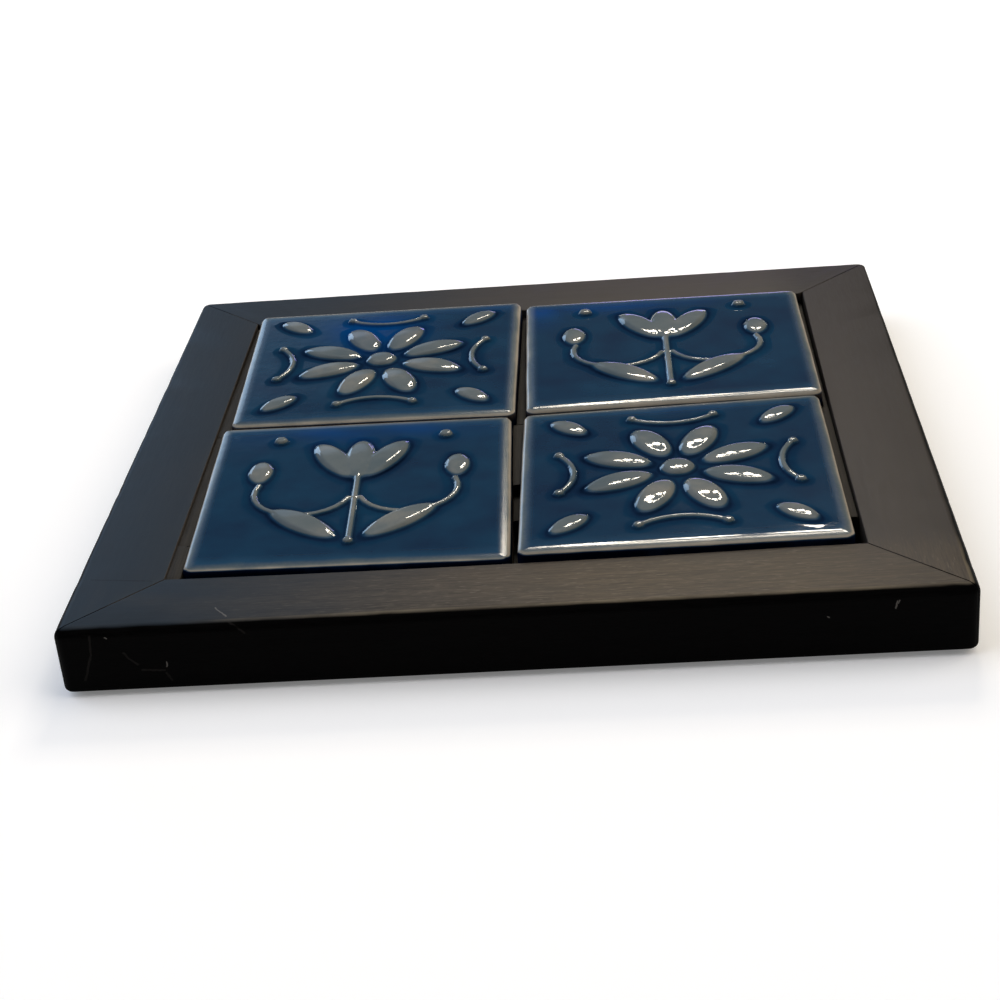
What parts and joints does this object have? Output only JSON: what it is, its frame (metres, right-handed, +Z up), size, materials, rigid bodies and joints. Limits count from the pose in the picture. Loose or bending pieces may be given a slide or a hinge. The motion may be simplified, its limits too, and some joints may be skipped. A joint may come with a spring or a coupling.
{
  "type": "trivet",
  "caption": "Square table trivet: glossy blue relief tiles set in a mitred black wooden frame, to stand a hot pan or dish on.",
  "frame": {"origin": "on the table, under the middle of the wooden frame", "axes": "+Z up, +X to the right and +Y to the back of the trivet as pictured, along its edges"},
  "size_m": [0.203, 0.1966, 0.0213],
  "materials": {
    "ebonised_wood": "satin",
    "stained_strip": "matte",
    "base_board": "matte",
    "glazed_tile": "gloss",
    "adhesive": "matte",
    "steel": "satin",
    "rubber_foot": "matte"
  },
  "bodies": {
    "root": {"front_rail": "ebonised_wood", "back_rail": "ebonised_wood", "left_rail": "ebonised_wood", "right_rail": "ebonised_wood", "left_filler_corner": "ebonised_wood", "base_board": "base_board", "tile_front_left": "glazed_tile", "tile_front_right": "glazed_tile", "tile_back_left": "glazed_tile", "tile_back_right": "glazed_tile", "bed_front_left": "adhesive", "bed_front_right": "adhesive", "bed_back_left": "adhesive", "bed_back_right": "adhesive", "left_filler_back": "stained_strip", "left_filler_front": "stained_strip", "centre_filler_back": "stained_strip", "centre_filler_front": "stained_strip", "centre_filler_slip": "stained_strip", "right_filler": "stained_strip", "mitre_v_nails": "steel", "board_screws": "steel", "foot_front_left": "rubber_foot", "foot_front_right": "rubber_foot", "foot_back_left": "rubber_foot", "foot_back_right": "rubber_foot"}
  },
  "joints": []
}
